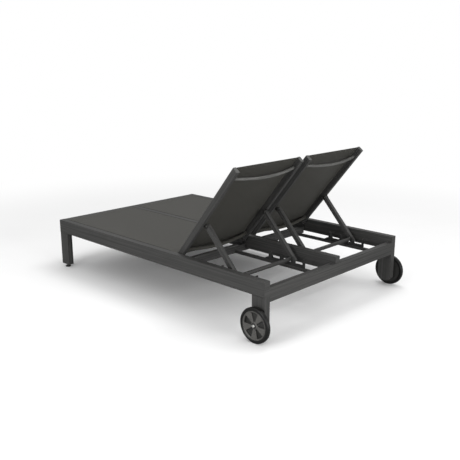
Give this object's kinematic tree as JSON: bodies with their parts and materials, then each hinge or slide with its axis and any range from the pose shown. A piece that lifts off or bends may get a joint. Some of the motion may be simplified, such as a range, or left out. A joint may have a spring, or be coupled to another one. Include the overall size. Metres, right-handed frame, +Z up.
{
  "type": "sun lounger",
  "caption": "Double reclining sun lounger: low tube frame with sling seats, separately adjustable backrests on toothed racks, legs at the foot end and wheels at the head end.",
  "frame": {"origin": "on the floor, under the middle of the overall box", "axes": "+Z up, +Y from the foot end to the head end, +X to the left of someone lying on it"},
  "size_m": [1.406, 2.0564, 0.9269],
  "materials": {
    "charcoal_metal": "charcoal powder coat, matte, with a fine grain",
    "sling_fabric": "woven coated mesh",
    "black_steel": "black powder coat",
    "black_nylon": "matte moulded",
    "cap_plastic": "matte moulded",
    "steel_fasteners": "zinc plated",
    "tyre_rubber": "smooth rubber",
    "wheel_plastic": "satin moulded",
    "bush_plastic": "plain",
    "black_rubber": "matte"
  },
  "bodies": {
    "frame": {"side_rail_left": "charcoal_metal", "side_rail_right": "charcoal_metal", "foot_rail": "charcoal_metal", "head_rail": "charcoal_metal", "centre_beam": "charcoal_metal", "mid_rail": "charcoal_metal", "seat_braces_left": "charcoal_metal", "seat_braces_right": "charcoal_metal", "rack_rails_left": "charcoal_metal", "rack_rails_right": "charcoal_metal", "racks_left": "black_nylon", "racks_right": "black_nylon", "foot_leg_left": "charcoal_metal", "foot_leg_right": "charcoal_metal", "head_leg_left": "charcoal_metal", "head_leg_right": "charcoal_metal", "rail_end_caps": "cap_plastic", "wheel_axles": "steel_fasteners", "hinge_brackets": "black_steel", "hinge_pins": "steel_fasteners", "buffers": "black_rubber", "seat_end_bars": "charcoal_metal", "seat_sling_left": "sling_fabric", "seat_sling_right": "sling_fabric"},
    "backrest_left": {"back_tube_outer_left": "charcoal_metal", "back_tube_inner_left": "charcoal_metal", "back_top_bar_left": "charcoal_metal", "back_low_bar_left": "charcoal_metal", "back_sling_left": "sling_fabric", "back_caps_left": "cap_plastic", "prop_lugs_left": "black_steel", "prop_bolts_left": "steel_fasteners"},
    "prop_left": {"struts_left": "charcoal_metal", "strut_bolts_left": "steel_fasteners"},
    "crossbar_left": {"crossbar_left": "charcoal_metal"},
    "wheel_left": {"tyre_left": "tyre_rubber", "wheel_left": "wheel_plastic", "wheel_bush_left": "bush_plastic", "hub_cap_left": "wheel_plastic"},
    "levelling_foot_left": {"levelling_foot_left": "black_rubber"},
    "backrest_right": {"back_tube_outer_right": "charcoal_metal", "back_tube_inner_right": "charcoal_metal", "back_top_bar_right": "charcoal_metal", "back_low_bar_right": "charcoal_metal", "back_sling_right": "sling_fabric", "back_caps_right": "cap_plastic", "prop_lugs_right": "black_steel", "prop_bolts_right": "steel_fasteners"},
    "prop_right": {"struts_right": "charcoal_metal", "strut_bolts_right": "steel_fasteners"},
    "crossbar_right": {"crossbar_right": "charcoal_metal"},
    "wheel_right": {"tyre_right": "tyre_rubber", "wheel_right": "wheel_plastic", "wheel_bush_right": "bush_plastic", "hub_cap_right": "wheel_plastic"},
    "levelling_foot_right": {"levelling_foot_right": "black_rubber"}
  },
  "joints": [
    {"name": "backrest_hinge_left", "type": "hinge", "parent": "frame", "child": "backrest_left", "pos_m": [0.3195, 0.23175, 0.333], "axis": [1, 0, 0], "range_deg": [-51, 25.5]},
    {"name": "prop_pivot_left", "type": "hinge", "parent": "backrest_left", "child": "prop_left", "pos_m": [0.3195, 0.44919, 0.55067], "axis": [1, 0, 0], "range_deg": [-49, 98]},
    {"name": "crossbar_hop_left", "type": "hinge", "parent": "prop_left", "child": "crossbar_left", "pos_m": [0.3195, 0.68628, 0.31814], "axis": [1, 0, 0], "range_deg": [-1441, 721]},
    {"name": "wheel_axle_left", "type": "hinge", "parent": "frame", "child": "wheel_left", "pos_m": [0.6835, 0.92525, 0.103], "axis": [1, 0, 0], "continuous": true},
    {"name": "foot_screw_left", "type": "hinge", "parent": "frame", "child": "levelling_foot_left", "pos_m": [0.639, -0.98525, 0], "axis": [0, 0, 1], "range_deg": [-360, 360]},
    {"name": "backrest_hinge_right", "type": "hinge", "parent": "frame", "child": "backrest_right", "pos_m": [-0.3195, 0.23175, 0.333], "axis": [1, 0, 0], "range_deg": [-51, 25.5]},
    {"name": "prop_pivot_right", "type": "hinge", "parent": "backrest_right", "child": "prop_right", "pos_m": [-0.3195, 0.44919, 0.55067], "axis": [1, 0, 0], "range_deg": [-49, 98]},
    {"name": "crossbar_hop_right", "type": "hinge", "parent": "prop_right", "child": "crossbar_right", "pos_m": [-0.3195, 0.68628, 0.31814], "axis": [1, 0, 0], "range_deg": [-1441, 721]},
    {"name": "wheel_axle_right", "type": "hinge", "parent": "frame", "child": "wheel_right", "pos_m": [-0.6835, 0.92525, 0.103], "axis": [1, 0, 0], "continuous": true},
    {"name": "foot_screw_right", "type": "hinge", "parent": "frame", "child": "levelling_foot_right", "pos_m": [-0.639, -0.98525, 0], "axis": [0, 0, 1], "range_deg": [-360, 360]}
  ],
  "couplings": [
    {"joint": "prop_pivot_left", "follows": "backrest_hinge_left", "ratio": -1.9131},
    {"joint": "crossbar_hop_left", "follows": "backrest_hinge_left", "ratio": 28.235},
    {"joint": "prop_pivot_right", "follows": "backrest_hinge_right", "ratio": -1.9131},
    {"joint": "crossbar_hop_right", "follows": "backrest_hinge_right", "ratio": 28.235}
  ]
}
